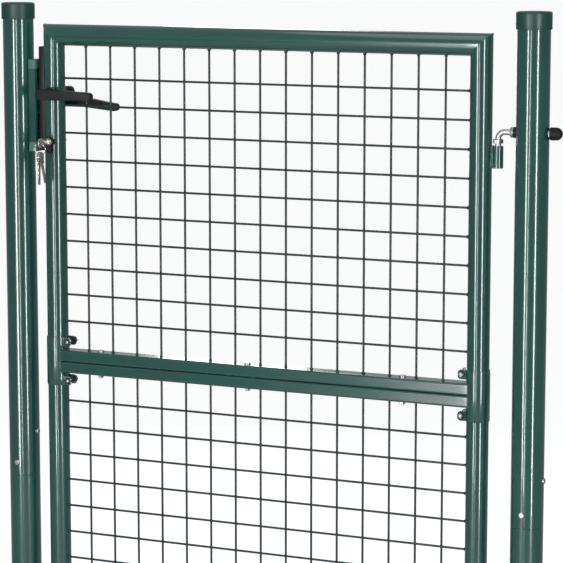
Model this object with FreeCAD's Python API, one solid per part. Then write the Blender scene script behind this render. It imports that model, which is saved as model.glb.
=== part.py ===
import FreeCAD, Part
import math
import os

# Single-leaf welded-mesh gate between two round posts, closed position.
# Millimetres, +Z up, origin at the centre of the hinge post's foot.
# The leaf reaches along -X to the lock post; -Y is the front, where the key is.

# Overall sizes
LEAF_HEIGHT = 1246.0
STILE_SPAN = 830.0            # between the two stile axes
POST_HEIGHT = 1744.0          # tube length above the foot, cap not counted
LEAF_TOP = 1712.0             # leaf's top edge above the post foot
HINGE_ROD = 10.5              # straight rod between the post nut and the elbow
LOCK_GAP = 5.4                # between the keep and the forend

# Tubes
POST_R = 28.5
POST_WALL = 1.5
FRAME_R = 19.5
FRAME_WALL = 1.5
RAIL_DEPTH = 34.0             # flat middle rails, front to back
RAIL_HEIGHT = 21.0
RAIL_CORNER = 4.0
RAIL_WALL = 1.5
RAIL_GAP = 0.5                # between the two middle rails
STILE_GAP = 0.4               # between upper and lower stile ends

# Post joint and caps
JOINT_BELOW_LEAF_TOP = 845.0
JOINT_CHAMFER = 0.9           # on both tube ends, leaves a fine groove
SPIGOT_LENGTH = 110.0
SPIGOT_CLEARANCE = 0.1
NECK_DEPTH = 8.0              # the neck starts this far below the joint
NECK_FIT = 0.1
CAP_WALL = 2.2
CAP_SKIRT = 30.0
CAP_TOP = 6.0
CAP_EDGE = 3.0
FRONT_SCREW_ABOVE_JOINT = 25.0
SIDE_SCREW_ABOVE_JOINT = 82.0
SCREW_R = 2.5
SCREW_HEAD_R = 5.0
SCREW_HEAD = 3.0
SCREW_LENGTH = 14.0
SCREW_HEAD_EDGE = 1.4
SCREW_RECESS_R = 1.2
SCREW_RECESS = 1.4

# Mesh
WIRE_R = 2.0
WIRE_PITCH = 50.0
WELD_SINK = 0.4               # how far crossing wires are pressed together
FIRST_WIRE_BELOW_TOP = 98.0

# Splice clamps
SLEEVE_HEIGHT = 90.0
SLEEVE_WALL = 1.6
SLEEVE_OPENING = 24.0         # slot on the mesh side, front to back
NOTCH_CLEARANCE = 0.3         # round the middle rails
EAR_REACH = 13.5              # stile surface to the ear's tip
EAR_HEIGHT = 17.0
EAR_WALL = 2.0
CLAMP_BOLT_REACH = 7.0        # stile surface to bolt axis
CLAMP_BOLT_OFFSET = 36.5      # above and below the splice
CLAMP_BOLT_R = 3.0
CLAMP_HEAD_R = 6.0
CLAMP_HEAD = 3.4
CLAMP_HEAD_EDGE = 2.0
CLAMP_BOLT_END = 2.0          # past the nut
CLAMP_NUT_FLATS = 10.0
CLAMP_NUT = 5.0

# Bolts joining the two middle rails
# They stand in the first, the middle and the last but one gap between uprights
RAIL_BOLT_R = 3.0
RAIL_HEAD_R = 6.2
RAIL_HEAD = 3.0
RAIL_BOLT_END = 2.0           # past the nut
RAIL_NUT_FLATS = 10.0
RAIL_NUT = 5.0

# Hinges
PIN_R = 5.0
PIN_CLEARANCE = 0.05
ELBOW_R = 12.0
HINGE_FROM_EDGE = 166.0       # rod axis from the leaf's top or bottom edge
BARREL_R = 9.0
BARREL_LENGTH = 38.0
BARREL_FROM_ROD = 24.0
PIN_SHORT_OF_BARREL = 2.0     # the pin ends this far inside the barrel
BARREL_GAP = 2.9              # stile surface to barrel, filled by the weld bridge
BRIDGE_HALF = 3.5
BRIDGE_INSET = 2.0
BRIDGE_SINK = 0.5
ADJUST_NUT_FLATS = 16.0
ADJUST_NUT = 7.0
ADJUST_NUT_FROM_ROD = 12.5
SADDLE_R = 9.5
SADDLE_PROUD = 4.0            # leaf side
OUTER_SADDLE_PROUD = 1.5      # far side
POST_NUT_R = 9.3
POST_NUT_FLATS = 16.0
POST_NUT = 6.0
POST_NUT_FLANGE = 1.6
END_NUT = 2.6
DOME_R = 11.0
DOME_LENGTH = 20.5
DOME_WALL = 1.6               # clear space round the bolt end

# Lock
FOREND_TOP = 41.0             # below the leaf's top edge
FOREND_BOTTOM = 232.0
FOREND_PROUD = 8.0
FOREND_HALF = 10.0
CASE_HALF = 8.0
CASE_PAST_AXIS = 4.5          # the case reaches this far past the stile axis
CASE_FIT = 0.2
CASE_INSET = 10.0             # inside the forend's two ends
CASE_SINK = 1.0               # behind the forend's outer face
LEVER_DROP = 126.0            # spindle axis below the leaf's top edge
SPINDLE = 8.0
SOCKET_FLOOR = 8.0            # solid grip in front of the spindle's end
NECK_BORE_GAP = 1.0
SPINDLE_BORE_R = 6.0
NECK_R = 8.0
NECK_CLEARANCE = 0.3
BUSH_R = 10.4
BUSH_PROUD = 4.5
LEVER_FRONT = 57.0            # leaf plane to the grip's far face
LEVER_THICK = 13.0
LEVER_LENGTH = 97.0
LEVER_ROOT_R = 9.8
LEVER_TIP_R = 7.4
LEVER_TIP_DROP = 0.8
REAR_LEVER_CRANK = 15.0       # rear grip's root below the spindle axis
REAR_LEVER_DROP = 26.5
LATCH_DROP = 90.0
LATCH_HEIGHT = 24.0
LATCH_WIDTH = 11.0
LATCH_PROUD = 4.5
LATCH_LENGTH = 26.0
LATCH_SLOPE = 3.5
LATCH_TRAVEL = 5.0
DEAD_DROP = 178.0
DEAD_HEIGHT = 22.0
DEAD_WIDTH = 9.0
DEAD_LENGTH = 28.0
DEAD_CHAMFER = 0.8
DEAD_END_GAP = 1.0
SLIDE_CLEARANCE = 0.4
CYLINDER_DROP = 214.0         # plug axis below the leaf's top edge
CYLINDER_R = 8.5
CYLINDER_WEB = 5.0            # half width of the lower web
CYLINDER_LEG = 17.0
CYLINDER_HALF = 26.0
PLUG_R = 6.5
PLUG_CLEARANCE = 0.05
PLUG_LENGTH = 20.0
PLUG_PROUD = 0.8
PLUG_END_GAP = 0.4
KEY_TIP_GAP = 4.0
KEY_SHOULDER = 0.36           # half height of the shoulder, as a share of the bow's
KEY_HOLE_EDGE = 3.0
KEY_THICK = 2.2
KEY_BLADE = 8.0
KEY_BOW_Y = 40.0
KEY_BOW_LENGTH = 24.0
KEY_BOW_HEIGHT = 19.0
KEY_HOLE_R = 3.4
RING_R = 11.0
RING_WIRE_R = 0.9
SPARE_LENGTH = 60.0
SPARE_SPACING = 2.6
SPARE_LEANS = (-2.0, 18.0)      # degrees about the ring, towards the leaf

# Keep on the lock post
KEEP_TOP = 65.0
KEEP_BOTTOM = 234.0
KEEP_THICK = 14.0
KEEP_HALF = 15.0
KEEP_WALL = 2.0
KEEP_CAP = 17.0
KEEP_CAP_PROUD = 0.8
KEEP_BOLT_R = 3.0
KEEP_HEAD_R = 5.5
KEEP_HEAD = 2.5
KEEP_SCREW_INSIDE = 8.0       # past the post's surface
KEEP_MOUTH = 2.0              # round the bolts
KEEP_CAP_EDGE = 2.0
STOP_THICK = 2.5
STOP_REACH = 12.0
STOP_CLEARANCE = 0.6

X = FreeCAD.Vector(1, 0, 0)
Y = FreeCAD.Vector(0, 1, 0)
Z = FreeCAD.Vector(0, 0, 1)

PIN_X = -(POST_R + SADDLE_PROUD + POST_NUT + HINGE_ROD + ELBOW_R)
HINGE_STILE_X = PIN_X - FRAME_R - BARREL_R - BARREL_GAP
LOCK_STILE_X = HINGE_STILE_X - STILE_SPAN
LOCK_POST_X = LOCK_STILE_X - (FRAME_R + FOREND_PROUD + LOCK_GAP + KEEP_THICK + POST_R)
LEAF_BOTTOM = LEAF_TOP - LEAF_HEIGHT
SPLICE_Z = LEAF_TOP - LEAF_HEIGHT / 2
JOINT_Z = LEAF_TOP - JOINT_BELOW_LEAF_TOP
SPIGOT_R = POST_R - POST_WALL - SPIGOT_CLEARANCE
UPPER_HINGE_Z = LEAF_TOP - HINGE_FROM_EDGE
LOWER_HINGE_Z = LEAF_BOTTOM + HINGE_FROM_EDGE
LEVER_Z = LEAF_TOP - LEVER_DROP
CYLINDER_Z = LEAF_TOP - CYLINDER_DROP
FOREND_X = LOCK_STILE_X - FRAME_R - FOREND_PROUD
KEEP_X = LOCK_POST_X + POST_R


def vec(x, y, z):
    return FreeCAD.Vector(x, y, z)


def rod(radius, start, end):
    line = end - start
    return Part.makeCylinder(radius, line.Length, start, line)


def pipe(outer, inner, start, end):
    return rod(outer, start, end).cut(rod(inner, start, end))


def block(low, high):
    size = high - low
    return Part.makeBox(size.x, size.y, size.z, low)


def hexagon(flats, start, end):
    """Hexagonal bar between two points."""
    line = end - start
    across = flats / math.sqrt(3)
    corners = [vec(across * math.cos(i * math.pi / 3), across * math.sin(i * math.pi / 3), 0)
               for i in range(6)]
    bar = Part.Face(Part.makePolygon(corners + corners[:1])).extrude(vec(0, 0, line.Length))
    turn = FreeCAD.Rotation(Z, line)
    bar.Placement = FreeCAD.Placement(start, turn)
    return bar


def wedge(points, half):
    """Outline in the XZ plane, made solid from -half to +half along Y."""
    corners = [vec(x, -half, z) for x, z in points]
    return Part.Face(Part.makePolygon(corners + corners[:1])).extrude(vec(0, 2 * half, 0))


def mirror_z(shape, height):
    return shape.mirror(vec(0, 0, height), Z)


def save(name, *solids):
    shape = solids[0] if len(solids) == 1 else Part.makeCompound(list(solids))
    shape.exportStep("parts/" + name + ".step")


# Posts: an upper and a lower tube, the lower one necked to slide into the upper

def joint_screw_axes(x):
    front = (vec(x, -POST_R, JOINT_Z + FRONT_SCREW_ABOVE_JOINT), vec(0, -1, 0))
    side = (vec(x + POST_R, 0, JOINT_Z + SIDE_SCREW_ABOVE_JOINT), vec(1, 0, 0))
    return [front, side]


def screw_holes(x):
    holes = [rod(SCREW_R, at - out * (SCREW_LENGTH + 1), at + out * SCREW_HEAD)
             for at, out in joint_screw_axes(x)]
    if x == 0:
        holes += [rod(PIN_R, vec(-2 * POST_R, 0, z), vec(2 * POST_R, 0, z))
                  for z in (UPPER_HINGE_Z, LOWER_HINGE_Z)]
    else:
        holes += [rod(KEEP_BOLT_R, vec(x, 0, z), vec(x + 2 * POST_R, 0, z)) for z in keep_bolt_heights()]
    return holes


def keep_bolt_heights():
    inset = 2 * KEEP_CAP
    return [LEAF_TOP - KEEP_TOP - inset, LEAF_TOP - KEEP_BOTTOM + inset]


def eased(tube):
    """Post tube with its outer edge at the joint chamfered."""
    rim = [e for e in tube.Edges if abs(e.CenterOfMass.z - JOINT_Z) < 0.01
           and e.Length > 2 * math.pi * (POST_R - POST_WALL / 2)]
    return tube.makeChamfer(JOINT_CHAMFER, rim)


def post(name, x):
    lower = eased(pipe(POST_R, POST_R - POST_WALL, vec(x, 0, 0), vec(x, 0, JOINT_Z)))
    neck = vec(x, 0, JOINT_Z - NECK_DEPTH)
    bore = SPIGOT_R - POST_WALL
    spigot = pipe(SPIGOT_R, bore, neck, vec(x, 0, JOINT_Z + SPIGOT_LENGTH))
    collar = pipe(POST_R - NECK_FIT, bore, neck, vec(x, 0, JOINT_Z - JOINT_CHAMFER - NECK_FIT))
    upper = eased(pipe(POST_R, POST_R - POST_WALL, vec(x, 0, JOINT_Z), vec(x, 0, POST_HEIGHT)))
    holes = screw_holes(x)
    save(name + "_post_lower", lower.fuse(spigot).fuse(collar).cut(Part.makeCompound(holes)).removeSplitter())
    save(name + "_post_upper", upper.cut(Part.makeCompound(holes)))
    outside = POST_R + CAP_WALL
    top = POST_HEIGHT + CAP_TOP
    cap = rod(outside, vec(x, 0, top - CAP_SKIRT), vec(x, 0, top))
    cap = cap.makeFillet(CAP_EDGE, [e for e in cap.Edges if abs(e.CenterOfMass.z - top) < 0.01])
    cap = cap.cut(rod(POST_R, vec(x, 0, top - CAP_SKIRT - 1), vec(x, 0, POST_HEIGHT)))
    save(name + "_post_cap", cap)
    screws = []
    for at, out in joint_screw_axes(x):
        shank = rod(SCREW_R, at - out * SCREW_LENGTH, at)
        head = rod(SCREW_HEAD_R, at - out * 2, at + out * SCREW_HEAD)
        head = head.makeFillet(SCREW_HEAD_EDGE, [e for e in head.Edges
                                     if abs((e.CenterOfMass - at).dot(out) - SCREW_HEAD) < 0.01])
        recess = rod(SCREW_RECESS_R, at + out * (SCREW_HEAD - SCREW_RECESS), at + out * (SCREW_HEAD + 1))
        solid_post = rod(POST_R, vec(x, 0, JOINT_Z - 10), vec(x, 0, POST_HEIGHT))
        screws.append(head.cut(solid_post).fuse(shank).cut(recess).removeSplitter())
    save(name + "_post_joint_screws", *screws)


# Leaf frame: round stiles and end rails mitred at the corners, flat middle rails

def frame_tube(start, end):
    return pipe(FRAME_R, FRAME_R - FRAME_WALL, start, end)


def panel_corners():
    """Mitre outlines of the upper panel: one region per tube."""
    left = LOCK_STILE_X
    right = HINGE_STILE_X
    axis_top = LEAF_TOP - FRAME_R
    reach = 2 * FRAME_R
    low = SPLICE_Z + STILE_GAP / 2
    lock = [(left - reach, low), (left + reach, low), (left + reach, axis_top - reach),
            (left - reach, axis_top + reach)]
    hinge = [(right - reach, low), (right + reach, low), (right + reach, axis_top + reach),
             (right - reach, axis_top - reach)]
    rail = [(left - reach, axis_top + reach), (left + reach, axis_top - reach),
            (right - reach, axis_top - reach), (right + reach, axis_top + reach)]
    return lock, hinge, rail


def middle_rail():
    """The upper panel's flat rail, coped to both stiles."""
    low = SPLICE_Z + RAIL_GAP / 2
    outer = block(vec(LOCK_STILE_X, -RAIL_DEPTH / 2, low),
                  vec(HINGE_STILE_X, RAIL_DEPTH / 2, low + RAIL_HEIGHT))
    along = [e for e in outer.Edges if abs(e.Length - STILE_SPAN) < 0.01]
    outer = outer.makeFillet(RAIL_CORNER, along)
    inner = block(vec(LOCK_STILE_X - 1, -RAIL_DEPTH / 2 + RAIL_WALL, low + RAIL_WALL),
                  vec(HINGE_STILE_X + 1, RAIL_DEPTH / 2 - RAIL_WALL, low + RAIL_HEIGHT - RAIL_WALL))
    along = [e for e in inner.Edges if abs(e.Length - STILE_SPAN - 2) < 0.01]
    inner = inner.makeFillet(RAIL_CORNER - RAIL_WALL, along)
    rail = outer.cut(inner)
    for x in (LOCK_STILE_X, HINGE_STILE_X):
        rail = rail.cut(rod(FRAME_R, vec(x, 0, low - 1), vec(x, 0, low + RAIL_HEIGHT + 1)))
    for x in rail_bolt_places():
        rail = rail.cut(rod(RAIL_BOLT_R, vec(x, 0, low - 1), vec(x, 0, low + RAIL_HEIGHT + 1)))
    return rail


def upright_places():
    """Evenly pitched uprights, centred between the stiles."""
    count = int((STILE_SPAN - 2 * FRAME_R) / WIRE_PITCH)
    first = LOCK_STILE_X + (STILE_SPAN - (count - 1) * WIRE_PITCH) / 2
    return [first + i * WIRE_PITCH for i in range(count)]


def rail_bolt_places():
    wires = upright_places()
    gaps = len(wires) - 1
    return [wires[i] + WIRE_PITCH / 2 for i in (0, (gaps - 1) // 2, gaps - 2)]


def lock_cuts():
    """Everything that is cut out of the lock stile for the lock."""
    x = LOCK_STILE_X
    low = LEAF_TOP - FOREND_BOTTOM + CASE_INSET - CASE_FIT
    high = LEAF_TOP - FOREND_TOP - CASE_INSET + CASE_FIT
    slot = block(vec(x - 2 * FRAME_R, -CASE_HALF - CASE_FIT, low), vec(x, CASE_HALF + CASE_FIT, high))
    spindle = rod(NECK_R + NECK_BORE_GAP, vec(x, -2 * FRAME_R, LEVER_Z), vec(x, 2 * FRAME_R, LEVER_Z))
    return [slot, spindle, cylinder_outline(CASE_FIT)]


def frame():
    lock, hinge, top = panel_corners()
    low = SPLICE_Z
    high = LEAF_TOP + 2 * FRAME_R
    half = 2 * FRAME_R
    stile_l = frame_tube(vec(LOCK_STILE_X, 0, low), vec(LOCK_STILE_X, 0, high)).common(wedge(lock, half))
    stile_h = frame_tube(vec(HINGE_STILE_X, 0, low), vec(HINGE_STILE_X, 0, high)).common(wedge(hinge, half))
    rail_z = LEAF_TOP - FRAME_R
    rail = frame_tube(vec(LOCK_STILE_X - 2 * FRAME_R, 0, rail_z),
                      vec(HINGE_STILE_X + 2 * FRAME_R, 0, rail_z)).common(wedge(top, half))
    save("upper_lock_stile", stile_l.cut(Part.makeCompound(lock_cuts())))
    save("upper_hinge_stile", stile_h)
    save("top_rail", rail)
    save("lower_lock_stile", mirror_z(stile_l, SPLICE_Z))
    save("lower_hinge_stile", mirror_z(stile_h, SPLICE_Z))
    save("bottom_rail", mirror_z(rail, SPLICE_Z))
    middle = middle_rail()
    save("upper_middle_rail", middle)
    save("lower_middle_rail", mirror_z(middle, SPLICE_Z))


def rail_bolts():
    bolts = []
    nuts = []
    face = RAIL_GAP / 2 + RAIL_HEIGHT
    for x in rail_bolt_places():
        low = SPLICE_Z - face - RAIL_NUT - RAIL_BOLT_END
        shank = rod(RAIL_BOLT_R, vec(x, 0, low), vec(x, 0, SPLICE_Z + face))
        head = rod(RAIL_HEAD_R, vec(x, 0, SPLICE_Z + face), vec(x, 0, SPLICE_Z + face + RAIL_HEAD))
        bolts.append(shank.fuse(head).removeSplitter())
        nut = hexagon(RAIL_NUT_FLATS, vec(x, 0, SPLICE_Z - face - RAIL_NUT), vec(x, 0, SPLICE_Z - face))
        nuts.append(nut.cut(shank))
    save("middle_rail_bolts", *bolts)
    save("middle_rail_nuts", *nuts)


# Welded mesh: uprights behind, cross wires in front, pressed into each other

def mesh():
    upright_y = WIRE_R - WELD_SINK / 2
    rail_face = SPLICE_Z + RAIL_GAP / 2 + RAIL_HEIGHT
    top = LEAF_TOP - 2 * FRAME_R
    uprights = [rod(WIRE_R, vec(x, upright_y, rail_face), vec(x, upright_y, top)) for x in upright_places()]
    z = LEAF_TOP - FIRST_WIRE_BELOW_TOP
    crosswires = []
    while z > rail_face + WIRE_PITCH / 2:
        crosswires.append(rod(WIRE_R, vec(LOCK_STILE_X + FRAME_R, -upright_y, z),
                              vec(HINGE_STILE_X - FRAME_R, -upright_y, z)))
        z -= WIRE_PITCH
    save("upper_mesh_uprights", *uprights)
    save("upper_mesh_crosswires", *crosswires)
    save("lower_mesh_uprights", *[mirror_z(w, SPLICE_Z) for w in uprights])
    save("lower_mesh_crosswires", *[mirror_z(w, SPLICE_Z) for w in crosswires])


# Splice clamps: open sleeves round the stile joints, ears bolted front to back

def splice(name, x, side):
    low = SPLICE_Z - SLEEVE_HEIGHT / 2
    high = SPLICE_Z + SLEEVE_HEIGHT / 2
    outer = FRAME_R + SLEEVE_WALL
    sleeve = pipe(outer, FRAME_R, vec(x, 0, low), vec(x, 0, high))
    mouth_near = x + side * FRAME_R * 0.4
    mouth_far = x + side * 2 * outer
    sleeve = sleeve.cut(block(vec(min(mouth_near, mouth_far), -SLEEVE_OPENING / 2, low - 1),
                              vec(max(mouth_near, mouth_far), SLEEVE_OPENING / 2, high + 1)))
    rail_zone = RAIL_GAP / 2 + RAIL_HEIGHT + NOTCH_CLEARANCE
    rail_half = RAIL_DEPTH / 2 + NOTCH_CLEARANCE
    sleeve = sleeve.cut(block(vec(min(x, mouth_far), -rail_half, SPLICE_Z - rail_zone),
                              vec(max(x, mouth_far), rail_half, SPLICE_Z + rail_zone)))
    solid_stile = rod(FRAME_R, vec(x, 0, low - 1), vec(x, 0, high + 1))
    ears = []
    for z in (SPLICE_Z - CLAMP_BOLT_OFFSET, SPLICE_Z + CLAMP_BOLT_OFFSET):
        for front in (-1, 1):
            near_y = front * (SLEEVE_OPENING / 2 - EAR_WALL)
            far_y = front * SLEEVE_OPENING / 2
            root_x = x + side * (FRAME_R * 0.7)
            tip_x = x + side * (FRAME_R + EAR_REACH)
            ear = block(vec(min(root_x, tip_x), min(near_y, far_y), z - EAR_HEIGHT / 2),
                        vec(max(root_x, tip_x), max(near_y, far_y), z + EAR_HEIGHT / 2))
            tips = [e for e in ear.Edges if abs(e.CenterOfMass.x - tip_x) < 0.01
                    and abs(e.Length - EAR_WALL) < 0.01]
            ears.append(ear.makeFillet(EAR_HEIGHT * 0.35, tips))
    for ear in ears:
        sleeve = sleeve.fuse(ear)
    sleeve = sleeve.cut(solid_stile)
    bolts = []
    nuts = []
    bolt_x = x + side * (FRAME_R + CLAMP_BOLT_REACH)
    face = SLEEVE_OPENING / 2
    for z in (SPLICE_Z - CLAMP_BOLT_OFFSET, SPLICE_Z + CLAMP_BOLT_OFFSET):
        shank = rod(CLAMP_BOLT_R, vec(bolt_x, -face, z), vec(bolt_x, face + CLAMP_NUT + CLAMP_BOLT_END, z))
        head = rod(CLAMP_HEAD_R, vec(bolt_x, -face - CLAMP_HEAD, z), vec(bolt_x, -face, z))
        head = head.makeFillet(CLAMP_HEAD_EDGE, [e for e in head.Edges
                                     if abs(e.CenterOfMass.y + face + CLAMP_HEAD) < 0.01])
        bolts.append(shank.fuse(head).removeSplitter())
        nut = hexagon(CLAMP_NUT_FLATS, vec(bolt_x, face, z), vec(bolt_x, face + CLAMP_NUT, z))
        nuts.append(nut.cut(shank))
        sleeve = sleeve.cut(shank)
    save(name + "_splice_clamp", sleeve.removeSplitter())
    return bolts, nuts


def splices():
    lock_bolts, lock_nuts = splice("lock_side", LOCK_STILE_X, 1)
    hinge_bolts, hinge_nuts = splice("hinge_side", HINGE_STILE_X, -1)
    save("splice_clamp_bolts", *(lock_bolts + hinge_bolts))
    save("splice_clamp_nuts", *(lock_nuts + hinge_nuts))


# Hinges: an L bolt through the hinge post, its pin in a barrel on the stile

def hinge(name, z, down):
    """down is 1 for a pin that points down, -1 for one that points up."""
    outer_seat = POST_R + OUTER_SADDLE_PROUD
    dome_seat = outer_seat + END_NUT
    far_end = dome_seat + DOME_LENGTH * 0.5
    barrel_near = z - down * BARREL_FROM_ROD
    barrel_far = barrel_near - down * BARREL_LENGTH
    pin_end = barrel_far + down * PIN_SHORT_OF_BARREL
    corner = vec(PIN_X, 0, z)
    level = corner + X * ELBOW_R
    turn = corner - Z * (down * ELBOW_R)
    middle = vec(PIN_X + ELBOW_R * (1 - math.sqrt(0.5)), 0, z - down * ELBOW_R * (1 - math.sqrt(0.5)))
    path = Part.Wire([Part.LineSegment(vec(far_end, 0, z), level).toShape(),
                      Part.Arc(level, middle, turn).toShape(),
                      Part.LineSegment(turn, vec(PIN_X, 0, pin_end)).toShape()])
    ring = Part.Wire(Part.makeCircle(PIN_R, vec(far_end, 0, z), X))
    bolt = path.makePipeShell([ring], True, False)
    save(name + "_hinge_bolt", bolt)
    bore = PIN_R + PIN_CLEARANCE
    barrel = pipe(BARREL_R, bore, vec(PIN_X, 0, barrel_near), vec(PIN_X, 0, barrel_far))
    bridge = block(vec(HINGE_STILE_X, -BRIDGE_HALF, min(barrel_near, barrel_far) + BRIDGE_INSET),
                   vec(PIN_X, BRIDGE_HALF, max(barrel_near, barrel_far) - BRIDGE_INSET))
    bridge = bridge.cut(rod(FRAME_R, vec(HINGE_STILE_X, 0, z - 100), vec(HINGE_STILE_X, 0, z + 100)))
    bridge = bridge.cut(rod(BARREL_R - BRIDGE_SINK, vec(PIN_X, 0, z - 100), vec(PIN_X, 0, z + 100)))
    save(name + "_hinge_barrel", barrel.fuse(bridge).removeSplitter())
    adjust_near = z - down * ADJUST_NUT_FROM_ROD
    adjust_far = adjust_near - down * ADJUST_NUT
    adjust = hexagon(ADJUST_NUT_FLATS, vec(PIN_X, 0, adjust_near), vec(PIN_X, 0, adjust_far))
    adjust = adjust.cut(rod(PIN_R, vec(PIN_X, 0, z - 60), vec(PIN_X, 0, z + 60)))
    rod_line = rod(PIN_R, vec(PIN_X, 0, z), vec(far_end, 0, z))
    solid_post = rod(POST_R, vec(0, 0, z - 40), vec(0, 0, z + 40))
    saddles = []
    for side, proud in ((-1, SADDLE_PROUD), (1, OUTER_SADDLE_PROUD)):
        washer = rod(SADDLE_R, vec(side * POST_R * 0.9, 0, z), vec(side * (POST_R + proud), 0, z))
        saddles.append(washer.cut(solid_post).cut(rod_line))
    seat = POST_R + SADDLE_PROUD
    inner_nut = hexagon(POST_NUT_FLATS, vec(-seat, 0, z), vec(-seat - POST_NUT, 0, z))
    flange = rod(POST_NUT_R, vec(-seat, 0, z), vec(-seat - POST_NUT_FLANGE, 0, z))
    inner_nut = inner_nut.fuse(flange).cut(rod_line).removeSplitter()
    end_nut = hexagon(POST_NUT_FLATS, vec(outer_seat, 0, z), vec(dome_seat, 0, z)).cut(rod_line)
    ball_x = dome_seat + DOME_LENGTH - DOME_R
    dome_base = rod(DOME_R, vec(dome_seat, 0, z), vec(ball_x, 0, z))
    past_ball = rod(DOME_R + 1, vec(ball_x, 0, z), vec(ball_x + DOME_R + 1, 0, z))
    ball = Part.makeSphere(DOME_R, vec(ball_x, 0, z)).common(past_ball)
    pocket = rod(PIN_R + DOME_WALL, vec(dome_seat, 0, z), vec(far_end + 1, 0, z))
    dome = dome_base.fuse(ball).removeSplitter().cut(pocket)
    return adjust, saddles, inner_nut, end_nut, dome


def hinges():
    upper = hinge("upper", UPPER_HINGE_Z, 1)
    lower = hinge("lower", LOWER_HINGE_Z, -1)
    save("hinge_adjusting_nuts", upper[0], lower[0])
    save("hinge_saddle_washers", *(upper[1] + lower[1]))
    save("hinge_inner_nuts", upper[2], lower[2])
    save("hinge_outer_nuts", upper[3], lower[3])
    save("hinge_dome_caps", upper[4], lower[4])


# Lock: forend and case in the stile, latch, dead bolt, cylinder, levers and keys

def cylinder_outline(clearance):
    """Profile cylinder body: a round top with a web below, along Y."""
    half = CYLINDER_HALF + clearance
    x = LOCK_STILE_X
    top = rod(CYLINDER_R + clearance, vec(x, -half, CYLINDER_Z), vec(x, half, CYLINDER_Z))
    web_half = CYLINDER_WEB + clearance
    foot_z = CYLINDER_Z - CYLINDER_LEG
    web = block(vec(x - web_half, -half, foot_z), vec(x + web_half, half, CYLINDER_Z))
    foot = rod(web_half, vec(x, -half, foot_z), vec(x, half, foot_z))
    return top.fuse(web).fuse(foot).removeSplitter()


def bolt_block(drop, height, width, length, proud, extra):
    z = LEAF_TOP - drop
    return block(vec(FOREND_X - proud, -width / 2 - extra, z - height / 2 - extra),
                 vec(FOREND_X - proud + length, width / 2 + extra, z + height / 2 + extra))


def lock_case():
    top = LEAF_TOP - FOREND_TOP
    bottom = LEAF_TOP - FOREND_BOTTOM
    stile = rod(FRAME_R, vec(LOCK_STILE_X, 0, bottom - 20), vec(LOCK_STILE_X, 0, top + 20))
    forend = block(vec(FOREND_X, -FOREND_HALF, bottom), vec(LOCK_STILE_X, FOREND_HALF, top)).cut(stile)
    case = block(vec(FOREND_X + CASE_SINK, -CASE_HALF, bottom + CASE_INSET),
                 vec(LOCK_STILE_X + CASE_PAST_AXIS, CASE_HALF, top - CASE_INSET))
    bolts = [bolt_block(LATCH_DROP, LATCH_HEIGHT, LATCH_WIDTH, LATCH_LENGTH + LATCH_TRAVEL,
                        LATCH_TRAVEL, SLIDE_CLEARANCE),
             bolt_block(DEAD_DROP, DEAD_HEIGHT, DEAD_WIDTH, DEAD_LENGTH + DEAD_END_GAP, 0, SLIDE_CLEARANCE)]
    bore = rod(SPINDLE_BORE_R, vec(LOCK_STILE_X, -2 * FRAME_R, LEVER_Z),
               vec(LOCK_STILE_X, 2 * FRAME_R, LEVER_Z))
    body = forend.fuse(case).cut(Part.makeCompound(bolts)).cut(bore).cut(cylinder_outline(CASE_FIT))
    save("lock_case", body.removeSplitter())
    latch = bolt_block(LATCH_DROP, LATCH_HEIGHT, LATCH_WIDTH, LATCH_LENGTH, LATCH_PROUD, 0)
    nose = [e for e in latch.Edges if abs(e.CenterOfMass.x - FOREND_X + LATCH_PROUD) < 0.01
            and e.CenterOfMass.y < -1]
    save("latch_bolt", latch.makeChamfer(LATCH_SLOPE, nose))
    dead = bolt_block(DEAD_DROP, DEAD_HEIGHT, DEAD_WIDTH, DEAD_LENGTH, 0, 0)
    ends = [e for e in dead.Edges if abs(e.CenterOfMass.x - FOREND_X) < 0.01]
    save("dead_bolt", dead.makeChamfer(DEAD_CHAMFER, ends))


def lever(side, crank, drop):
    """Lever handle: neck from the stile, grip parallel to the leaf. side -1 is the front.
    crank is how far the grip's root sits below the spindle axis, drop how far its tip does."""
    x = LOCK_STILE_X
    far = side * LEVER_FRONT
    near = side * (LEVER_FRONT - LEVER_THICK)
    root_z = LEVER_Z - crank
    tip_z = LEVER_Z - drop
    tip_x = x + LEVER_LENGTH
    neck = rod(NECK_R, vec(x, side * (FRAME_R + 1.0), LEVER_Z), vec(x, near, LEVER_Z))
    hub = rod(LEVER_ROOT_R, vec(x, near, LEVER_Z), vec(x, far, LEVER_Z))
    root = rod(LEVER_ROOT_R, vec(x, near, root_z), vec(x, far, root_z))
    tip = rod(LEVER_TIP_R, vec(tip_x, near, tip_z), vec(tip_x, far, tip_z))
    grip = wedge([(x, root_z + LEVER_ROOT_R), (tip_x, tip_z + LEVER_TIP_R),
                  (tip_x, tip_z - LEVER_TIP_R), (x, root_z - LEVER_ROOT_R)], LEVER_THICK / 2)
    grip.translate(vec(0, (near + far) / 2, 0))
    body = grip.fuse(hub).fuse(tip).fuse(neck)
    if crank > 0:
        web = block(vec(x - LEVER_ROOT_R, min(near, far), root_z),
                    vec(x + LEVER_ROOT_R, max(near, far), LEVER_Z))
        body = body.fuse(root).fuse(web)
    socket = block(vec(x - SPINDLE / 2, -LEVER_FRONT + SOCKET_FLOOR, LEVER_Z - SPINDLE / 2),
                   vec(x + SPINDLE / 2, LEVER_FRONT - SOCKET_FLOOR, LEVER_Z + SPINDLE / 2))
    return body.removeSplitter().cut(socket)


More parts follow.
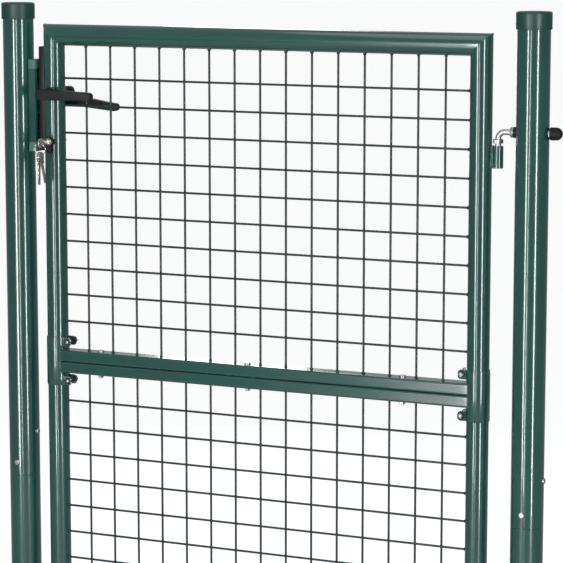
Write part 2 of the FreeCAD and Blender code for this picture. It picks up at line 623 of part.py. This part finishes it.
def bush(side):
    x = LOCK_STILE_X
    ring = rod(BUSH_R, vec(x, side * FRAME_R * 0.6, LEVER_Z), vec(x, side * (FRAME_R + BUSH_PROUD), LEVER_Z))
    ring = ring.cut(rod(FRAME_R, vec(x, 0, LEVER_Z - 30), vec(x, 0, LEVER_Z + 30)))
    return ring.cut(rod(NECK_R + NECK_CLEARANCE, vec(x, -60, LEVER_Z), vec(x, 60, LEVER_Z)))


def levers():
    x = LOCK_STILE_X
    save("front_lever", lever(-1, 0, LEVER_TIP_DROP))
    save("rear_lever", lever(1, REAR_LEVER_CRANK, REAR_LEVER_DROP))
    reach = LEVER_FRONT - SOCKET_FLOOR
    save("lever_spindle", block(vec(x - SPINDLE / 2, -reach, LEVER_Z - SPINDLE / 2),
                                vec(x + SPINDLE / 2, reach, LEVER_Z + SPINDLE / 2)))
    save("front_lever_bush", bush(-1))
    save("rear_lever_bush", bush(1))


def key_outline(start_y, blade_length, bow_length, bow_height):
    """Flat key in the YZ plane about the plug axis, bow towards -Y of start_y."""
    blade_half = KEY_BLADE / 2
    bow = Part.makeCylinder(bow_height / 2, KEY_THICK,
                            vec(-KEY_THICK / 2, start_y - bow_length + bow_height / 2, 0), X)
    shoulder = block(vec(-KEY_THICK / 2, start_y - bow_length + bow_height / 2, -bow_height * KEY_SHOULDER),
                     vec(KEY_THICK / 2, start_y, bow_height * KEY_SHOULDER))
    blade = block(vec(-KEY_THICK / 2, start_y - 1, -blade_half),
                  vec(KEY_THICK / 2, start_y + blade_length, blade_half - 1.0))
    return bow.fuse(shoulder).fuse(blade).removeSplitter()


def keys():
    x = LOCK_STILE_X
    body = cylinder_outline(0)
    plug_face = -CYLINDER_HALF - PLUG_PROUD
    plug = rod(PLUG_R, vec(x, plug_face, CYLINDER_Z), vec(x, plug_face + PLUG_LENGTH, CYLINDER_Z))
    hole = rod(PLUG_R + PLUG_CLEARANCE, vec(x, plug_face - 1, CYLINDER_Z),
               vec(x, plug_face + PLUG_LENGTH + PLUG_END_GAP, CYLINDER_Z))
    save("lock_cylinder", body.cut(hole))
    blade_in = PLUG_LENGTH - KEY_TIP_GAP
    key = key_outline(-KEY_BOW_Y, KEY_BOW_Y + plug_face + blade_in, KEY_BOW_LENGTH, KEY_BOW_HEIGHT)
    key.translate(vec(x, 0, CYLINDER_Z))
    hole_y = -KEY_BOW_Y - KEY_BOW_LENGTH + KEY_HOLE_R + KEY_HOLE_EDGE
    key = key.cut(rod(KEY_HOLE_R, vec(x - 5, hole_y, CYLINDER_Z), vec(x + 5, hole_y, CYLINDER_Z)))
    save("cylinder_plug", plug.cut(key))
    save("key", key)
    ring_z = CYLINDER_Z - RING_R
    ring = Part.makeTorus(RING_R, RING_WIRE_R, vec(x, hole_y, ring_z), Y)
    save("key_ring", ring)
    spares = []
    spare_hole_z = CYLINDER_Z - 2 * RING_R
    for side, lean in ((-1, SPARE_LEANS[0]), (1, SPARE_LEANS[1])):
        spare = key_outline(0, SPARE_LENGTH - KEY_BOW_LENGTH, KEY_BOW_LENGTH, KEY_BOW_HEIGHT)
        from_hole = KEY_BOW_LENGTH - KEY_HOLE_R - KEY_HOLE_EDGE
        spare = spare.cut(rod(KEY_HOLE_R, vec(-5, -from_hole, 0), vec(5, -from_hole, 0)))
        spare.rotate(vec(0, 0, 0), X, -90)
        spare.rotate(vec(0, 0, from_hole), X, lean)
        spare.translate(vec(x + side * SPARE_SPACING / 2, hole_y, spare_hole_z - from_hole))
        spares.append(spare)
    save("spare_keys", *spares)


# Keep: closed channel on the lock post, end caps, a stop strip behind the forend

def keep():
    top = LEAF_TOP - KEEP_TOP
    bottom = LEAF_TOP - KEEP_BOTTOM
    near = KEEP_X
    far = KEEP_X + KEEP_THICK
    shell = block(vec(near, -KEEP_HALF, bottom + KEEP_CAP), vec(far, KEEP_HALF, top - KEEP_CAP))
    hollow = block(vec(KEEP_X + KEEP_WALL, -KEEP_HALF + KEEP_WALL, bottom + KEEP_CAP - 1),
                   vec(far - KEEP_WALL, KEEP_HALF - KEEP_WALL, top - KEEP_CAP + 1))
    shell = shell.cut(hollow)
    mouths = ((LATCH_DROP, LATCH_HEIGHT, LATCH_WIDTH), (DEAD_DROP, DEAD_HEIGHT, DEAD_WIDTH))
    for drop, height, width in mouths:
        z = LEAF_TOP - drop
        half_width = width / 2 + KEEP_MOUTH
        half_height = height / 2 + KEEP_MOUTH
        shell = shell.cut(block(vec(far - 2 * KEEP_WALL, -half_width, z - half_height),
                                vec(far + 1, half_width, z + half_height)))
    bolts = []
    for z in keep_bolt_heights():
        start = vec(KEEP_X - KEEP_SCREW_INSIDE, 0, z)
        shank = rod(KEEP_BOLT_R, start, vec(KEEP_X + KEEP_WALL, 0, z))
        head = rod(KEEP_HEAD_R, vec(KEEP_X + KEEP_WALL, 0, z), vec(KEEP_X + KEEP_WALL + KEEP_HEAD, 0, z))
        bolts.append(shank.fuse(head).removeSplitter())
        shell = shell.cut(shank)
    save("lock_keep", shell)
    save("keep_screws", *bolts)
    proud = KEEP_CAP_PROUD
    caps = []
    for low, high in ((bottom, bottom + KEEP_CAP), (top - KEEP_CAP, top)):
        cap = block(vec(near, -KEEP_HALF - proud, low), vec(far + proud, KEEP_HALF + proud, high))
        outer = [e for e in cap.Edges if abs(e.CenterOfMass.x - far - proud) < 0.01
                 and abs(e.Length - KEEP_CAP) < 0.01]
        caps.append(cap.makeFillet(KEEP_CAP_EDGE, outer))
    save("keep_end_caps", *caps)
    stop_y = FOREND_HALF + STOP_CLEARANCE
    save("keep_stop_strip", block(vec(far, stop_y, bottom + KEEP_CAP),
                                  vec(far + STOP_REACH, stop_y + STOP_THICK, top - KEEP_CAP)))


os.makedirs("parts", exist_ok=True)
post("hinge", 0.0)
post("lock", LOCK_POST_X)
frame()
rail_bolts()
mesh()
splices()
hinges()
lock_case()
levers()
keys()
keep()
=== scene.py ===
import math
import random
import bpy
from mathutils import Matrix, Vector


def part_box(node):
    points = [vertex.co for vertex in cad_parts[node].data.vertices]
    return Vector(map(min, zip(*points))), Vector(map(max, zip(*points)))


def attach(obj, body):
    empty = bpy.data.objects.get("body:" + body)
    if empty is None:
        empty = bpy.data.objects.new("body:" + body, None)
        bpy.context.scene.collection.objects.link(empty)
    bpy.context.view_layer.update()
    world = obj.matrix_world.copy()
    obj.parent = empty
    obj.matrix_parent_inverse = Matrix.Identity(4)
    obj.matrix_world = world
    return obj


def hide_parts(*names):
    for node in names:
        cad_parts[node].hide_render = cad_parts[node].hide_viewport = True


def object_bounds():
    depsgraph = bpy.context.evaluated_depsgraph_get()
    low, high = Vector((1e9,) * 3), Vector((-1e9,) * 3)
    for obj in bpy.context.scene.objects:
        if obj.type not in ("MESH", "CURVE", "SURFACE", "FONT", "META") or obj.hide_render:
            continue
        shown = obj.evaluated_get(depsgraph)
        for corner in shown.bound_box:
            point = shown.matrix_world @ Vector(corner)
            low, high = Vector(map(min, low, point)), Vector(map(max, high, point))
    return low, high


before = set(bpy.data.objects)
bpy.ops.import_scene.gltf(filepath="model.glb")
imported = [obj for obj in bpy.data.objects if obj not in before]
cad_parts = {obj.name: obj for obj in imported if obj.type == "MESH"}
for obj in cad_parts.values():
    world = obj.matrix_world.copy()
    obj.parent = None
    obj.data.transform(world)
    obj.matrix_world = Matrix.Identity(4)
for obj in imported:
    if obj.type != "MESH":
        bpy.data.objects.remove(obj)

cad_low, cad_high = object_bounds()


# ---- Floor, lights and camera ----
# A wide pale floor and sky, which look white to the camera but light the gate less,
# so that the gloss keeps its contrast. Long narrow soft boxes draw the streaks that
# run up the tubes, and the camera stands to the hinge side.
camera_place = (1.352, -3.969, 1.916)
camera_down = math.radians(8.49)
camera_turn = math.radians(24.6)
camera_lens = 158.7
floor_size = 240.0
floor_colour = (0.50, 0.505, 0.51, 1.0)
floor_roughness = 0.9
floor_shine = 0.1
floor_glow = 0.76
sky_colour = (0.97, 0.98, 1.0, 1.0)
sky_seen = 1.0
sky_light = 0.38

bpy.ops.object.select_all(action="DESELECT")
bpy.ops.mesh.primitive_plane_add(size=floor_size, location=(0, 0, 0))
floor = bpy.context.object
floor.name = "studio_floor"
floor_finish = bpy.data.materials.new("studio_floor_finish")
floor_finish.use_nodes = True
floor_shader = floor_finish.node_tree.nodes["Principled BSDF"]
floor_shader.inputs["Base Color"].default_value = floor_colour
floor_shader.inputs["Roughness"].default_value = floor_roughness
floor_shader.inputs["Specular IOR Level"].default_value = floor_shine
floor_shader.inputs["Emission Color"].default_value = (1.0, 1.0, 1.0, 1.0)
floor.data.materials.append(floor_finish)


def seen_and_cast(tree, seen, cast, socket):
    """One value for what the camera sees, another for the light that is cast."""
    path = tree.nodes.new("ShaderNodeLightPath")
    choice = tree.nodes.new("ShaderNodeMapRange")
    choice.inputs["To Min"].default_value = cast
    choice.inputs["To Max"].default_value = seen
    tree.links.new(path.outputs["Is Camera Ray"], choice.inputs["Value"])
    tree.links.new(choice.outputs["Result"], socket)


seen_and_cast(floor_finish.node_tree, floor_glow, 0.0, floor_shader.inputs["Emission Strength"])

world = bpy.data.worlds.new("studio_sky")
bpy.context.scene.world = world
world.use_nodes = True
sky_shader = world.node_tree.nodes["Background"]
sky_shader.inputs["Color"].default_value = sky_colour
seen_and_cast(world.node_tree, sky_seen, sky_light, sky_shader.inputs["Strength"])
bpy.context.scene.view_settings.view_transform = "Standard"


def soft_box(name, place, target, size, power):
    """Rectangular lamp that faces its target."""
    lamp = bpy.data.lights.new(name, "AREA")
    lamp.shape = "RECTANGLE"
    lamp.size, lamp.size_y = size
    lamp.energy = power
    box = bpy.data.objects.new(name, lamp)
    bpy.context.scene.collection.objects.link(box)
    box.location = place
    away = Vector(target) - Vector(place)
    box.rotation_euler = away.to_track_quat("-Z", "Y").to_euler()


middle = (cad_low + cad_high) / 2
lamp_reach = 4.0
lamp_height = 2.6
level_aim = Vector((middle.x, middle.y, lamp_height / 2))
strips = (("left_strip", -103, 0.26, 62), ("centre_strip", -83, 0.12, 27), ("right_strip", -36, 0.26, 62))
for name, turn_degrees, width, power in strips:
    turn = math.radians(turn_degrees)
    place = level_aim + Vector((lamp_reach * math.cos(turn), lamp_reach * math.sin(turn), 0))
    soft_box(name, place, level_aim, (width, lamp_height), power)
rim_place = (-2.2, 3.4, 2.4)
top_place = (-0.4, -0.6, 4.4)
fill_power = 20
soft_box("rim_box", rim_place, middle, (0.5, 3.0), fill_power)
soft_box("top_box", top_place, middle, (2.5, 2.5), fill_power)

camera_data = bpy.data.cameras.new("studio_camera")
camera_data.lens = camera_lens
camera_data.sensor_width = 36.0
camera = bpy.data.objects.new("studio_camera", camera_data)
bpy.context.scene.collection.objects.link(camera)
camera.location = camera_place
camera.rotation_euler = (math.pi / 2 - camera_down, 0, camera_turn)
bpy.context.scene.camera = camera


# ---- Posts ----
# Round steel tubes in two lengths, the lower one necked into the upper one and
# held by two screws. Galvanised and powder coated in a smooth gloss green.
coat_green = (0.0088, 0.072, 0.058, 1.0)
coat_green_deep = (0.0064, 0.054, 0.044, 1.0)


def effect_group(name, inputs, outputs):
    """Empty shader group with its sockets: (name, socket type, default)."""
    group = bpy.data.node_groups.new(name, "ShaderNodeTree")
    for label, kind, default in inputs:
        socket = group.interface.new_socket(label, in_out="INPUT", socket_type=kind)
        socket.default_value = default
    for label, kind in outputs:
        group.interface.new_socket(label, in_out="OUTPUT", socket_type=kind)
    return group, group.nodes.new("NodeGroupInput"), group.nodes.new("NodeGroupOutput")


def noise(tree, scale, detail):
    """Noise on the piece's own coordinates, its scale taken from a socket."""
    place = tree.nodes.new("ShaderNodeTexCoord")
    grain = tree.nodes.new("ShaderNodeTexNoise")
    grain.inputs["Detail"].default_value = detail
    tree.links.new(scale, grain.inputs["Scale"])
    tree.links.new(place.outputs["Object"], grain.inputs["Vector"])
    return grain.outputs["Fac"]


def ramp(tree, value, low, high):
    """Spreads a mask so that low becomes 0 and high becomes 1."""
    spread = tree.nodes.new("ShaderNodeMapRange")
    spread.inputs["From Min"].default_value = low
    spread.inputs["From Max"].default_value = high
    tree.links.new(value, spread.inputs["Value"])
    return spread.outputs["Result"]


def surface_skin():
    """Two-tone mottling, uneven gloss and a fine bump, for every finish here."""
    mottle_detail = 5.0
    grain_detail = 2.0
    mottle_low = 0.35
    mottle_high = 0.68
    group, given, out = effect_group(
        "surface_skin",
        [("Colour", "NodeSocketColor", (0.5, 0.5, 0.5, 1)),
         ("Deep Colour", "NodeSocketColor", (0.3, 0.3, 0.3, 1)),
         ("Mottle Scale", "NodeSocketFloat", 12.0), ("Grain Scale", "NodeSocketFloat", 400.0),
         ("Low Gloss", "NodeSocketFloat", 0.2), ("High Gloss", "NodeSocketFloat", 0.35),
         ("Bump", "NodeSocketFloat", 0.1), ("Bump Depth", "NodeSocketFloat", 0.0003)],
        [("Colour", "NodeSocketColor"), ("Roughness", "NodeSocketFloat"), ("Normal", "NodeSocketVector")])
    cloud = noise(group, given.outputs["Mottle Scale"], mottle_detail)
    mottle = ramp(group, cloud, mottle_low, mottle_high)
    grain = noise(group, given.outputs["Grain Scale"], grain_detail)
    tone = group.nodes.new("ShaderNodeMix")
    tone.data_type = "RGBA"
    group.links.new(mottle, tone.inputs["Factor"])
    group.links.new(given.outputs["Colour"], tone.inputs["A"])
    group.links.new(given.outputs["Deep Colour"], tone.inputs["B"])
    gloss = group.nodes.new("ShaderNodeMapRange")
    group.links.new(mottle, gloss.inputs["Value"])
    group.links.new(given.outputs["Low Gloss"], gloss.inputs["To Min"])
    group.links.new(given.outputs["High Gloss"], gloss.inputs["To Max"])
    bump = group.nodes.new("ShaderNodeBump")
    group.links.new(given.outputs["Bump"], bump.inputs["Strength"])
    group.links.new(given.outputs["Bump Depth"], bump.inputs["Distance"])
    group.links.new(grain, bump.inputs["Height"])
    group.links.new(tone.outputs["Result"], out.inputs["Colour"])
    group.links.new(gloss.outputs["Result"], out.inputs["Roughness"])
    group.links.new(bump.outputs["Normal"], out.inputs["Normal"])
    return group


skin = surface_skin()


def finish(name, colour, deep, mottle, grain, gloss, bump, depth, metallic=0.0, coat=0.0, coat_roughness=0.1,
           specular=0.5):
    """Material whose colour, gloss and bump come from the shared skin group."""
    material = bpy.data.materials.new(name)
    material.use_nodes = True
    tree = material.node_tree
    shader = tree.nodes["Principled BSDF"]
    shader.inputs["Metallic"].default_value = metallic
    shader.inputs["Coat Weight"].default_value = coat
    shader.inputs["Coat Roughness"].default_value = coat_roughness
    shader.inputs["Specular IOR Level"].default_value = specular
    look = tree.nodes.new("ShaderNodeGroup")
    look.node_tree = skin
    values = {"Colour": colour, "Deep Colour": deep, "Mottle Scale": mottle, "Grain Scale": grain,
              "Low Gloss": gloss[0], "High Gloss": gloss[1], "Bump": bump, "Bump Depth": depth}
    for label, value in values.items():
        look.inputs[label].default_value = value
    tree.links.new(look.outputs["Colour"], shader.inputs["Base Color"])
    tree.links.new(look.outputs["Roughness"], shader.inputs["Roughness"])
    tree.links.new(look.outputs["Normal"], shader.inputs["Normal"])
    return material


def dress(material, *nodes):
    """Gives CAD nodes a finish through their material slots."""
    for node in nodes:
        mesh_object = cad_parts[node]
        if not mesh_object.material_slots:
            mesh_object.data.materials.append(material)
        for place in mesh_object.material_slots:
            place.material = material


powder_coat = finish("green_powder_coat", coat_green, coat_green_deep, 7.0, 520.0, (0.16, 0.24),
                     0.16, 0.0004, coat=1.0, coat_roughness=0.05)
dress(powder_coat, "hinge_post_lower", "hinge_post_upper", "lock_post_lower", "lock_post_upper")


# ---- Post caps ----
# Moulded plastic caps pushed over the post ends, a little duller than the coat
# and faintly grained by the mould.
merge_reach = 0.000004
flat_angle = math.radians(0.5)
smooth_angle = math.radians(38)


def only(piece):
    """Selects one piece and nothing else."""
    bpy.ops.object.select_all(action="DESELECT")
    piece.select_set(True)
    bpy.context.view_layer.objects.active = piece


def softened(node, width, material, body, angle=32.0, segments=2):
    """Copy of a CAD node with its edges broken by a small round, standing for that node."""
    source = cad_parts[node]
    piece = bpy.data.objects.new(node + "_soft", source.data.copy())
    bpy.context.scene.collection.objects.link(piece)
    only(piece)
    bpy.ops.object.mode_set(mode="EDIT")
    bpy.ops.mesh.select_all(action="SELECT")
    bpy.ops.mesh.remove_doubles(threshold=merge_reach)
    bpy.ops.mesh.dissolve_limited(angle_limit=flat_angle)
    bpy.ops.object.mode_set(mode="OBJECT")
    bpy.ops.object.modifier_add(type="BEVEL")
    bevel = piece.modifiers[-1]
    bevel.width = width
    bevel.segments = segments
    bevel.limit_method = "ANGLE"
    bevel.angle_limit = math.radians(angle)
    bpy.ops.object.modifier_apply(modifier=bevel.name)
    bpy.ops.object.shade_smooth_by_angle(angle=smooth_angle)
    piece.data.materials.clear()
    piece.data.materials.append(material)
    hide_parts(node)
    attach(piece, body)


cap_plastic = finish("green_cap_plastic", (0.010, 0.056, 0.045, 1), (0.007, 0.044, 0.036, 1), 18.0, 900.0,
                     (0.30, 0.42), 0.25, 0.0003)
for cap_node in ("hinge_post_cap", "lock_post_cap"):
    softened(cap_node, 0.0009, cap_plastic, "posts", angle=50)


# ---- Post joint screws ----
# Self-tapping steel screws with round heads through both tubes, bright zinc
# plated, so they show up against the green.
zinc = finish("bright_zinc", (0.56, 0.56, 0.58, 1), (0.38, 0.38, 0.41, 1), 60.0, 900.0, (0.28, 0.48),
              0.30, 0.0002, metallic=1.0)
dress(zinc, "hinge_post_joint_screws", "lock_post_joint_screws", "keep_screws")


# ---- Leaf frame ----
# Two welded panels, each of round stiles mitred to an end rail and a flat
# tube at the splice. Powder coated after welding, so the seams are green too.
dress(powder_coat, "upper_lock_stile", "upper_hinge_stile", "lower_lock_stile", "lower_hinge_stile",
      "top_rail", "bottom_rail", "upper_middle_rail", "lower_middle_rail")

rng = random.Random(7)
frame_low, frame_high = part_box("top_rail")
tube_r = (frame_high.z - frame_low.z) / 2
foot_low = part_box("bottom_rail")[0]
lock_x = frame_low.x + tube_r
hinge_x = frame_high.x - tube_r
top_z = frame_high.z - tube_r
foot_z = foot_low.z + tube_r
seam_bead_r = 0.0011
seam_bead_sunk = 0.0003
seam_bead_points = 72
seam_bead_thin = 0.72
seam_bead_thick = 1.12


def ring_bead(name, points, radius, body, material):
    """Closed weld bead that follows a ring of points, with an uneven, rippled back."""
    line = bpy.data.curves.new(name, "CURVE")
    line.dimensions = "3D"
    line.bevel_depth = radius
    line.bevel_resolution = 2
    spline = line.splines.new("POLY")
    spline.points.add(len(points) - 1)
    for spot, point in zip(spline.points, points):
        spot.co = (*point, 1)
        spot.radius = rng.uniform(seam_bead_thin, seam_bead_thick)
    spline.use_cyclic_u = True
    piece = bpy.data.objects.new(name, line)
    bpy.context.scene.collection.objects.link(piece)
    only(piece)
    bpy.ops.object.convert(target="MESH")
    piece = bpy.context.object
    bpy.ops.object.shade_smooth()
    piece.data.materials.append(material)
    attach(piece, body)


def mitre_ring(corner_x, corner_z, across, up):
    """Ellipse where a stile and an end rail meet on their 45 degree plane."""
    inside = tube_r - seam_bead_sunk
    ring = []
    for step in range(seam_bead_points):
        turn = 2 * math.pi * step / seam_bead_points
        reach = inside * math.cos(turn)
        ring.append((corner_x + across * reach, inside * math.sin(turn), corner_z + up * reach))
    return ring


corners = (("top_lock", lock_x, top_z, 1, -1), ("top_hinge", hinge_x, top_z, -1, -1),
           ("foot_lock", lock_x, foot_z, 1, 1), ("foot_hinge", hinge_x, foot_z, -1, 1))
for label, corner_x, corner_z, across, up in corners:
    ring_bead(label + "_corner_weld", mitre_ring(corner_x, corner_z, across, up), seam_bead_r,
              "leaf", powder_coat)


# ---- Welded mesh ----
# Four millimetre wires, cross wires in front of the uprights, welded where they
# cross and to the frame at every end. The coat is thinner here and reads darker.
wire_coat = finish("green_wire_coat", (0.0060, 0.027, 0.022, 1), (0.0040, 0.018, 0.015, 1), 30.0, 700.0,
                   (0.32, 0.44), 0.25, 0.0003, coat=0.15, specular=0.4)
dress(wire_coat, "upper_mesh_uprights", "upper_mesh_crosswires",
      "lower_mesh_uprights", "lower_mesh_crosswires")
wire_r = 0.002
pitch = 0.05
weld_dent = 0.07
end_weld_low = 0.0030
end_weld_high = 0.0037
end_weld_side = 0.8 * wire_r
upright_end_stretch = (1.0, 0.9, 1.15)
crosswire_end_stretch = (1.15, 0.9, 1.0)
rail_weld_low = 0.0020
rail_weld_high = 0.0025
rail_weld_stretch = (1.0, 1.0, 1.25)
rail_weld_inset = 0.0008
rail_weld_sunk = 0.0012
rail_weld_drops = 7
rail_weld_start = 0.08
rail_weld_gap = 0.14


def weld_drops(name, spots, material, body):
    """Many drops of weld metal in one piece: one coarse ball, copied to each spot,
    drawn out and slightly dented. Each spot: place, radius, stretch."""
    bpy.ops.object.select_all(action="DESELECT")
    bpy.ops.mesh.primitive_uv_sphere_add(segments=10, ring_count=6, radius=1.0)
    model = bpy.context.object
    bpy.ops.object.shade_smooth()
    copies = []
    for place, radius, stretch in spots:
        drop = model.copy()
        drop.data = model.data.copy()
        bpy.context.scene.collection.objects.link(drop)
        for corner in drop.data.vertices:
            dent = 1 + rng.uniform(-weld_dent, weld_dent)
            corner.co = Vector([corner.co[i] * stretch[i] * radius * dent + place[i] for i in range(3)])
        copies.append(drop)
    bpy.data.objects.remove(model)
    bpy.ops.object.select_all(action="DESELECT")
    for drop in copies:
        drop.select_set(True)
    bpy.context.view_layer.objects.active = copies[0]
    bpy.ops.object.join()
    piece = bpy.context.object
    piece.name = name
    piece.data.materials.append(material)
    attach(piece, body)


def wire_places(low, high):
    """Evenly spaced places from the first wire's middle to the last one's."""
    count = round((high - low - 2 * wire_r) / pitch) + 1
    return [low + wire_r + pitch * i for i in range(count)]


for panel, middle_rail in (("upper", "upper_middle_rail"), ("lower", "lower_middle_rail")):
    up_low, up_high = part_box(panel + "_mesh_uprights")
    across_low, across_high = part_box(panel + "_mesh_crosswires")
    ends = []
    for x in wire_places(up_low.x, up_high.x):
        for z in (up_low.z, up_high.z):
            ends.append(((x, end_weld_side, z), rng.uniform(end_weld_low, end_weld_high),
                         upright_end_stretch))
    for z in wire_places(across_low.z, across_high.z):
        for x in (across_low.x, across_high.x):
            ends.append(((x, -end_weld_side, z), rng.uniform(end_weld_low, end_weld_high),
                         crosswire_end_stretch))
    weld_drops(panel + "_mesh_end_welds", ends, wire_coat, "leaf")
    rail_low, rail_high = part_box(middle_rail)
    joints = []
    for x, to_stile in ((across_low.x + rail_weld_inset, -1), (across_high.x - rail_weld_inset, 1)):
        for side in (-1, 1):
            for step in range(rail_weld_drops):
                z = rail_low.z + (rail_high.z - rail_low.z) * (rail_weld_start + rail_weld_gap * step)
                y = side * (rail_high.y - rail_weld_sunk)
                fall_away = tube_r - math.sqrt(tube_r ** 2 - y ** 2)
                joints.append(((x + to_stile * fall_away, y, z), rng.uniform(rail_weld_low, rail_weld_high),
                               rail_weld_stretch))
    weld_drops(panel + "_rail_welds", joints, powder_coat, "leaf")


# ---- Splice clamps and bolts ----
# Open steel sleeves that hold the two panels in line, pinched by round-headed
# bolts through ears on the mesh side. Bolt heads are dark; the small bright zinc
# disc in the middle of each is a painted highlight for the glint on its dome.
clamp_bolt = finish("dark_zinc", (0.10, 0.11, 0.11, 1), (0.045, 0.05, 0.05, 1), 90.0, 900.0, (0.25, 0.45),
                    0.30, 0.0002, metallic=0.9)
for clamp in ("lock_side_splice_clamp", "hinge_side_splice_clamp"):
    softened(clamp, 0.0005, powder_coat, "leaf", angle=45)
dress(clamp_bolt, "splice_clamp_bolts")
dress(zinc, "splice_clamp_nuts", "middle_rail_bolts", "middle_rail_nuts")
bolt_low, bolt_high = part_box("splice_clamp_bolts")
bolt_head_r = 0.006
painted_glint_r = 0.0026
painted_glint_thick = 0.0006
painted_glint_sunk = 0.0001
painted_glint_edge = 0.0002
painted_glint_smooth_angle = math.radians(40)
# Painted highlight: a small bright zinc disc on each bolt head stands for the glint on its dome.
for label, x in (("lock", bolt_low.x + bolt_head_r), ("hinge", bolt_high.x - bolt_head_r)):
    for level, z in (("upper", bolt_high.z - bolt_head_r), ("lower", bolt_low.z + bolt_head_r)):
        bpy.ops.object.select_all(action="DESELECT")
        bpy.ops.mesh.primitive_cylinder_add(vertices=32, radius=painted_glint_r, depth=painted_glint_thick,
                                            location=(x, bolt_low.y + painted_glint_sunk, z),
                                            rotation=(math.pi / 2, 0, 0))
        glint_stud = bpy.context.object
        glint_stud.name = label + "_" + level + "_bolt_painted_glint"
        bpy.ops.object.mode_set(mode="EDIT")
        bpy.ops.mesh.select_all(action="SELECT")
        bpy.ops.mesh.bevel(offset=painted_glint_edge, segments=2)
        bpy.ops.object.mode_set(mode="OBJECT")
        bpy.ops.object.transform_apply(location=True, rotation=True, scale=True)
        bpy.ops.object.shade_smooth_by_angle(angle=painted_glint_smooth_angle)
        glint_stud.data.materials.append(zinc)
        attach(glint_stud, "leaf")


# ---- Hinges ----
# An L bolt through the hinge post: bright zinc steel, nuts, black saddle washers
# and a black dome cap. The green barrel is welded to the stile with a rough bead.
black_plastic = finish("black_plastic", (0.0062, 0.0062, 0.0080, 1), (0.0040, 0.0040, 0.0052, 1),
                       40.0, 1100.0, (0.42, 0.56), 0.45, 0.0004, specular=0.3)
dress(zinc, "upper_hinge_bolt", "lower_hinge_bolt")
softened("hinge_adjusting_nuts", 0.0006, zinc, "posts")
softened("hinge_inner_nuts", 0.0005, zinc, "posts")
softened("hinge_outer_nuts", 0.0006, zinc, "posts")
dress(black_plastic, "hinge_saddle_washers", "hinge_dome_caps")
dress(powder_coat, "upper_hinge_barrel", "lower_hinge_barrel")
barrel_weld_low = 0.0031
barrel_weld_high = 0.0038
barrel_weld_stretch = (1.15, 0.85, 0.72)
barrel_weld_out = 0.0022
barrel_weld_side = 0.0052
barrel_weld_wander = 0.0006
barrel_weld_drops = 13
barrel_weld_start = 0.06
barrel_weld_gap = 0.073
for level in ("upper", "lower"):
    barrel_low, barrel_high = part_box(level + "_hinge_barrel")
    height = barrel_high.z - barrel_low.z
    scales = []
    for side in (-1, 1):
        for step in range(barrel_weld_drops):
            z = barrel_low.z + height * (barrel_weld_start + barrel_weld_gap * step)
            wander = rng.uniform(-barrel_weld_wander, barrel_weld_wander)
            scales.append(((hinge_x + tube_r + barrel_weld_out + wander, side * barrel_weld_side, z),
                           rng.uniform(barrel_weld_low, barrel_weld_high), barrel_weld_stretch))
    weld_drops(level + "_barrel_weld", scales, powder_coat, "leaf")


# ---- Lock case and cylinder ----
# The lock sits inside the stile; its black forend stands along the stile's edge.
# The profile cylinder passes through, with a bright plug in its round part.
lock_black = finish("lock_black", (0.0080, 0.0080, 0.0095, 1), (0.0050, 0.0050, 0.0060, 1), 35.0, 800.0,
                    (0.36, 0.50), 0.35, 0.0003, specular=0.35)
nickel = finish("nickel_plate", (0.66, 0.65, 0.62, 1), (0.48, 0.47, 0.45, 1), 80.0, 900.0, (0.14, 0.30),
                0.20, 0.0002, metallic=1.0)
softened("lock_case", 0.0006, lock_black, "leaf")
softened("lock_cylinder", 0.0004, lock_black, "leaf")
softened("latch_bolt", 0.0005, zinc, "latch")
softened("dead_bolt", 0.0005, zinc, "dead_bolt")
dress(nickel, "cylinder_plug")


# ---- Lever handles ----
# Two moulded black levers on one square spindle, each a round neck with a
# tapered flat grip that is rounded all along, and a bush in the stile.
softened("front_lever", 0.0022, black_plastic, "handle", angle=40, segments=4)
softened("rear_lever", 0.0022, black_plastic, "handle", angle=40, segments=4)
dress(zinc, "lever_spindle")
softened("front_lever_bush", 0.0005, black_plastic, "leaf", angle=50)
softened("rear_lever_bush", 0.0005, black_plastic, "leaf", angle=50)


# ---- Keys and ring ----
# Flat nickel-plated keys: one in the cylinder, two spares on a split ring that
# hangs from its bow. Shallow edge rounds catch the light.
softened("key", 0.0004, nickel, "key", angle=40)
softened("spare_keys", 0.0004, nickel, "key_ring", angle=40)
dress(nickel, "key_ring")


# ---- Keep ----
# A green steel channel on the lock post with paler moulded end caps, and the
# strip behind the forend that stops the leaf.
keep_plastic = finish("keep_cap_plastic", (0.085, 0.170, 0.145, 1), (0.065, 0.140, 0.118, 1), 40.0, 900.0,
                      (0.40, 0.52), 0.35, 0.0003)
softened("lock_keep", 0.0008, powder_coat, "posts")
softened("keep_end_caps", 0.0006, keep_plastic, "posts", angle=50)
softened("keep_stop_strip", 0.0004, powder_coat, "posts")
